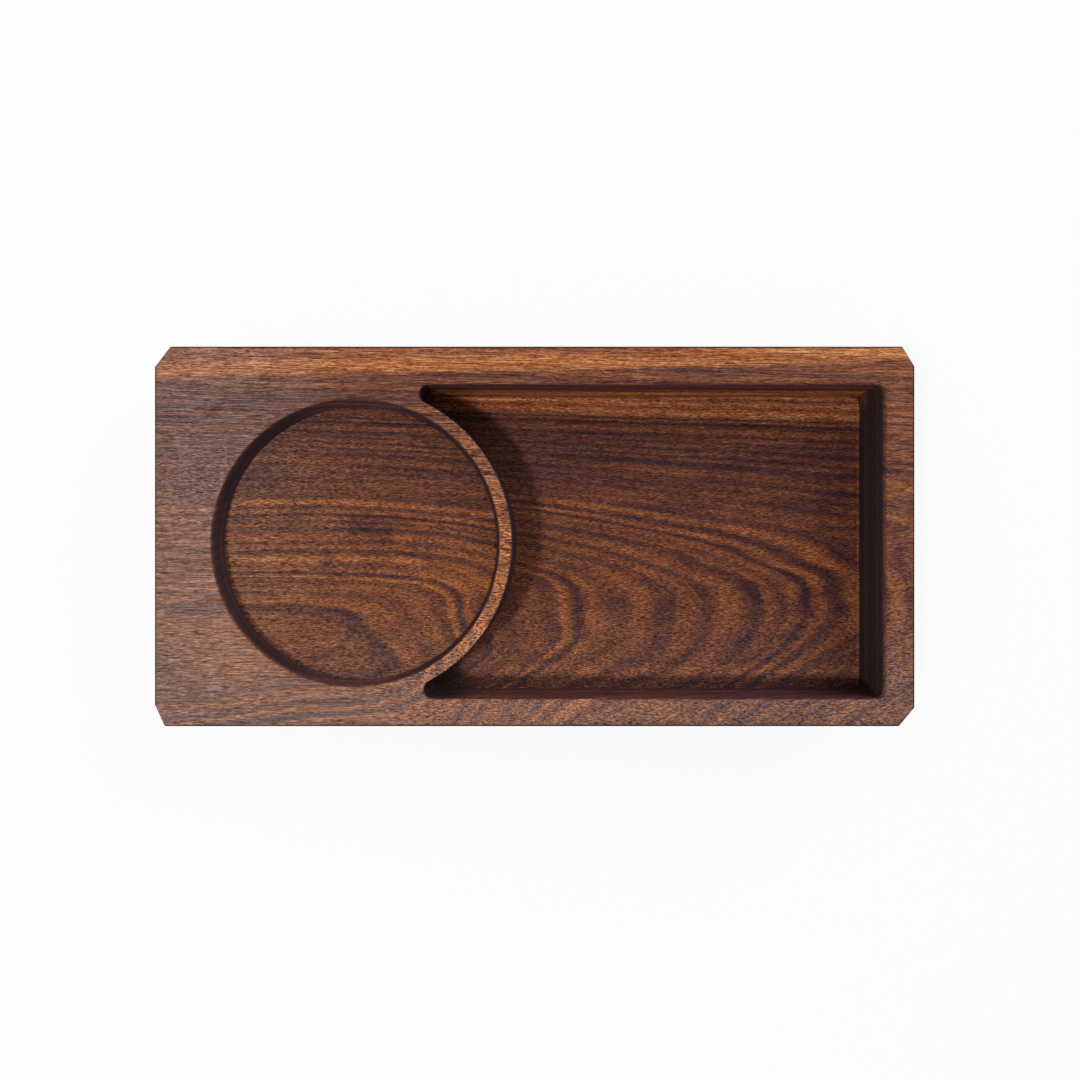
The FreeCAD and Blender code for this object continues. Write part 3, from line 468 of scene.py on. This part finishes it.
def makeWalnut(look):
    material, tree = newMaterial("oiledWalnut")
    place = addNode(tree, "ShaderNodeTexCoord").outputs["Object"]
    place = addNode(tree, "ShaderNodeMapping", {
        "Vector": place, "Scale": (1 / mm, 1 / mm, 1 / mm)}).outputs[0]
    real = addNode(tree, "ShaderNodeSeparateXYZ", {0: place}).outputs
    flat = addNode(tree, "ShaderNodeVectorMath", {0: place, 1: (1, 1, 0)}, operation="MULTIPLY").outputs[0]
    depth = addNode(tree, "ShaderNodeMath", {0: trayHigh.z, 1: real["Z"]}, operation="SUBTRACT").outputs[0]
    start, full = look["edgeDepth"]
    high = addNode(tree, "ShaderNodeMapRange", {
        "Value": depth, "From Min": start, "From Max": full}).outputs[0]
    milled, inWell = walnutMilled(tree, look, real, depth)
    inDish = addNode(tree, "ShaderNodeMath", {0: milled, 1: inWell}, operation="SUBTRACT").outputs[0]
    onTop = addNode(tree, "ShaderNodeMath", {0: 1, 1: milled}, operation="SUBTRACT").outputs[0]

    # which way the surface faces, read past the small rounds
    facing = addNode(tree, "ShaderNodeBevel", {"Radius": look["easedEdge"] * mm}, samples=6).outputs[0]
    facing = addNode(tree, "ShaderNodeSeparateXYZ", {0: facing}).outputs
    start, full = look["wallFacing"]
    steep = addNode(tree, "ShaderNodeMapRange", {
        "Value": facing["Z"], "From Min": start, "From Max": full},
        interpolation_type="SMOOTHSTEP").outputs[0]
    start, full = look["endGrainFacing"]
    endGrain = addNode(tree, "ShaderNodeMath", {0: facing["X"]}, operation="ABSOLUTE").outputs[0]
    endGrain = addNode(tree, "ShaderNodeMapRange", {
        "Value": endGrain, "From Min": start, "From Max": full}, interpolation_type="SMOOTHSTEP").outputs[0]

    across, height, moved = walnutTree(tree, look, real, place)
    grain = walnutGrain(tree, look, real, place, across, height)
    tone, deep = walnutRings(tree, look, real["X"], across, height, grain, milled)
    for marks, where in (("wellMarksAndEdgeHighlights", inWell), ("dishMarks", inDish), ("topPaintedLightAndShade", onTop)):
        tone = addNode(tree, "ShaderNodeMath", {0: tone, 1: walnutMarks(tree, look[marks], flat, where)},
                       operation="ADD").outputs[0]
    polished, fromAxis = walnutPolish(tree, look, real, flat, high)
    tone = addNode(tree, "ShaderNodeMath", {0: polished, 1: tone}, operation="ADD").outputs[0]
    gain = addNode(tree, "ShaderNodeMath", {0: polished, 1: look["ringGrain"], 2: 1},
                   operation="MULTIPLY_ADD").outputs[0]
    deep = addNode(tree, "ShaderNodeMath", {0: deep, 1: gain}, operation="MULTIPLY").outputs[0]

    # heartwood, then sapwood, the painted sheen and the fine grain over both
    sap = walnutSapwood(tree, look, real, moved, depth, grain)
    colour = addNode(tree, "ShaderNodeValToRGB", {0: tone}, stops=look["tones"]).outputs[0]
    pale = addNode(tree, "ShaderNodeValToRGB", {0: tone}, stops=look["sapwoodTones"]).outputs[0]
    colour = addNode(tree, "ShaderNodeMix", {"Factor": sap, 6: colour, 7: pale}, data_type="RGBA").outputs[2]
    # painted sheen: a grey mixed in where the lamp's reflection lies on the left end and the front
    sheenShare = walnutPaintedSheen(tree, look, real, milled, steep)
    colour = addNode(tree, "ShaderNodeMix", {
        "Factor": sheenShare, 6: colour, 7: hexToLinear(look["paintedSheen"])}, data_type="RGBA").outputs[2]
    colour = walnutDeepened(tree, look, colour, deep)

    # milled floors are darker than the sanded top, and the well's floor gets painted shade as well, most at
    # its right end
    start, full = look["wellShadeAlong"]
    right = addNode(tree, "ShaderNodeMapRange", {
        "Value": real["X"], "From Min": start, "From Max": full, "To Min": look["wellShadeLeast"]}).outputs[0]
    right = addNode(tree, "ShaderNodeMath", {0: right, 1: inWell}, operation="MULTIPLY").outputs[0]
    for share, shade in ((milled, look["floorShade"]), (right, look["wellShade"])):
        colour = addNode(tree, "ShaderNodeMix", {"Factor": share, 6: colour, 7: hexToLinear(shade)},
                         data_type="RGBA", blend_type="MULTIPLY").outputs[2]
    colour = walnutWalls(tree, look, flat, depth, milled, sap, fromAxis, steep, endGrain, colour)
    # painted shade along the outer edges of the top
    edge = walnutEdge(tree, look, real, high)
    colour = addNode(tree, "ShaderNodeMix", {"Factor": edge, 6: colour, 7: hexToLinear(look["edgeShade"])},
                     data_type="RGBA", blend_type="MULTIPLY").outputs[2]

    smooth, coarse = look["roughness"]
    rough = addNode(tree, "ShaderNodeMapRange", {
        "Value": grain["fibre"], "From Min": -0.3, "From Max": 0.3, "To Min": smooth,
        "To Max": coarse}).outputs[0]
    for where, more in ((milled, look["roughMilled"]), (endGrain, look["roughEndGrain"])):
        rough = addNode(tree, "ShaderNodeMath", {0: where, 1: more, 2: rough},
                        operation="MULTIPLY_ADD").outputs[0]
    relief = grain["fibre"]
    for name, share in (("pore", look["reliefPore"]), ("dash", look["reliefDash"])):
        relief = addNode(tree, "ShaderNodeMath", {0: grain[name], 1: share, 2: relief},
                         operation="MULTIPLY_ADD").outputs[0]
    bump = addNode(tree, "ShaderNodeBump", {
        "Height": relief, "Strength": look["reliefStrength"], "Distance": look["relief"] * mm}).outputs[0]
    shader = addNode(tree, "ShaderNodeBsdfPrincipled", {
        "Base Color": colour, "Roughness": rough, "IOR": 1.45, "Specular IOR Level": 0.2, "Normal": bump})
    addNode(tree, "ShaderNodeOutputMaterial", {"Surface": shader.outputs[0]})
    return material


nodes["tray_body"].material_slots[0].material = makeWalnut(walnut)
print("walnut on the tray body")

# Moulded black rubber: matt, with a fine mould texture and a little dust on the tread
rubber = {
    "grit": 0.25,
    "colours": [(0.3, "#1d1c1b"), (0.7, "#2c2a28")],
    "roughness": (0.6, 0.85),
    "relief": 0.06,
    "reliefStrength": 0.4,
}


def makeRubber(look):
    material, tree = newMaterial("mouldedRubber")
    place = addNode(tree, "ShaderNodeTexCoord").outputs["Object"]
    grit = addNode(tree, "ShaderNodeTexNoise", {
        "Vector": place, "Scale": 1 / (look["grit"] * mm), "Detail": 3, "Roughness": 0.6}).outputs[0]
    colour = addNode(tree, "ShaderNodeValToRGB", {0: grit}, stops=look["colours"]).outputs[0]
    smooth, coarse = look["roughness"]
    rough = addNode(tree, "ShaderNodeMapRange", {
        "Value": grit, "To Min": smooth, "To Max": coarse}).outputs[0]
    bump = addNode(tree, "ShaderNodeBump", {
        "Height": grit, "Strength": look["reliefStrength"], "Distance": look["relief"] * mm}).outputs[0]
    shader = addNode(tree, "ShaderNodeBsdfPrincipled", {
        "Base Color": colour, "Roughness": rough, "IOR": 1.52, "Normal": bump})
    addNode(tree, "ShaderNodeOutputMaterial", {"Surface": shader.outputs[0]})
    return material


# Acrylic foam tape: pale grey, with fine closed cells
foamTape = {
    "cell": 0.12,
    "colours": [(0.0, "#c9c6bd"), (0.6, "#e2e0d8")],
    "relief": 0.03,
    "reliefStrength": 0.3,
}


def makeFoamTape(look):
    material, tree = newMaterial("acrylicFoamTape")
    place = addNode(tree, "ShaderNodeTexCoord").outputs["Object"]
    cells = addNode(tree, "ShaderNodeTexVoronoi", {
        "Vector": place, "Scale": 1 / (look["cell"] * mm)}).outputs["Distance"]
    colour = addNode(tree, "ShaderNodeValToRGB", {0: cells}, stops=look["colours"]).outputs[0]
    bump = addNode(tree, "ShaderNodeBump", {
        "Height": cells, "Strength": look["reliefStrength"], "Distance": look["relief"] * mm}).outputs[0]
    shader = addNode(tree, "ShaderNodeBsdfPrincipled", {
        "Base Color": colour, "Roughness": 0.7, "IOR": 1.48, "Normal": bump})
    addNode(tree, "ShaderNodeOutputMaterial", {"Surface": shader.outputs[0]})
    return material


rubberFinish = makeRubber(rubber)
tapeFinish = makeFoamTape(foamTape)
for name, node in nodes.items():
    if name.startswith("foot_"):
        node.material_slots[0].material = rubberFinish
    elif name.startswith("adhesive_disc_"):
        node.material_slots[0].material = tapeFinish
print("rubber feet and tape finished")

# Plain pale floor, white to the camera and still showing the tray's shadow; its width is in metres
floorLook = {"width": 6.0, "colour": "#fbfaf8", "whiteShare": 0.9}


def makeFloor(look):
    mesh = bpy.data.meshes.new("floor")
    shape = bmesh.new()
    bmesh.ops.create_grid(shape, x_segments=1, y_segments=1, size=look["width"] / 2)
    shape.to_mesh(mesh)
    shape.free()
    floor = bpy.data.objects.new("floor", mesh)
    bpy.context.scene.collection.objects.link(floor)
    material, tree = newMaterial("paleFloor")
    paint = addNode(tree, "ShaderNodeBsdfDiffuse", {"Color": hexToLinear(look["colour"])}).outputs[0]
    white = addNode(tree, "ShaderNodeEmission").outputs[0]
    path = addNode(tree, "ShaderNodeLightPath").outputs
    seen = addNode(tree, "ShaderNodeMath", {0: path["Is Camera Ray"], 1: path["Is Glossy Ray"]},
                   operation="MAXIMUM").outputs[0]
    seen = addNode(tree, "ShaderNodeMath", {0: seen, 1: path["Is Transmission Ray"]},
                   operation="MAXIMUM").outputs[0]
    seen = addNode(tree, "ShaderNodeMath", {0: seen, 1: look["whiteShare"]}, operation="MULTIPLY").outputs[0]
    shader = addNode(tree, "ShaderNodeMixShader", {0: seen, 1: paint, 2: white})
    addNode(tree, "ShaderNodeOutputMaterial", {"Surface": shader.outputs[0]})
    mesh.materials.append(material)


makeFloor(floorLook)

# Soft light: an even sky that is dimmer overhead, a lamp on the left towards the front, and a broad cool
# panel behind on the right; places and widths are in metres
light = {
    "overhead": 0.2,
    "horizon": 0.6,
    "lamps": {
        "lamp": {"place": (-0.47, -0.25, 0.85), "width": 0.11, "power": 4.7, "colour": "#fffaf4"},
        "panel": {"place": (0.80, 0.70, 0.42), "width": 0.80, "power": 8.5, "colour": "#f2f4ff"},
    },
}


def lightScene(look):
    world = bpy.data.worlds.new("softSky")
    bpy.context.scene.world = world
    world.use_nodes = True
    tree = world.node_tree
    tree.nodes.clear()
    up = addNode(tree, "ShaderNodeTexCoord").outputs["Generated"]
    up = addNode(tree, "ShaderNodeSeparateXYZ", {0: up}).outputs["Z"]
    level = addNode(tree, "ShaderNodeMapRange", {
        "Value": up, "To Min": look["horizon"], "To Max": look["overhead"]}).outputs[0]
    sky = addNode(tree, "ShaderNodeBackground", {"Color": (1, 1, 1, 1), "Strength": level})
    addNode(tree, "ShaderNodeOutputWorld", {"Surface": sky.outputs[0]})
    for name, setting in look["lamps"].items():
        lamp = bpy.data.lights.new(name, "AREA")
        lamp.shape = "SQUARE"
        lamp.size = setting["width"]
        lamp.energy = setting["power"]
        lamp.color = hexToLinear(setting["colour"])[:3]
        stand = bpy.data.objects.new(name, lamp)
        bpy.context.scene.collection.objects.link(stand)
        stand.location = setting["place"]
        stand.rotation_euler = (-Vector(setting["place"])).to_track_quat("-Z", "Y").to_euler()


lightScene(light)
print("floor and light set")

# The photograph looks straight down, from a little right of the tray's middle; the place is in mm
view = {
    "frame": 1080,
    "nadirPixel": (566, 555),
    "place": (8.25, -4.9, 190.5),
    "focalPixels": 639,
    "sensor": 36.0,
    "nearest": 1,
}


def placeCamera(look):
    lens = bpy.data.cameras.new("camera")
    lens.sensor_width = look["sensor"]
    lens.lens = look["focalPixels"] / look["frame"] * look["sensor"]
    lens.shift_x = 0.5 - look["nadirPixel"][0] / look["frame"]
    lens.shift_y = look["nadirPixel"][1] / look["frame"] - 0.5
    lens.clip_start = look["nearest"] * mm
    camera = bpy.data.objects.new("camera", lens)
    bpy.context.scene.collection.objects.link(camera)
    camera.location = Vector(look["place"]) * mm
    bpy.context.scene.camera = camera


placeCamera(view)
bpy.context.scene.view_settings.view_transform = "Standard"
print("camera placed")
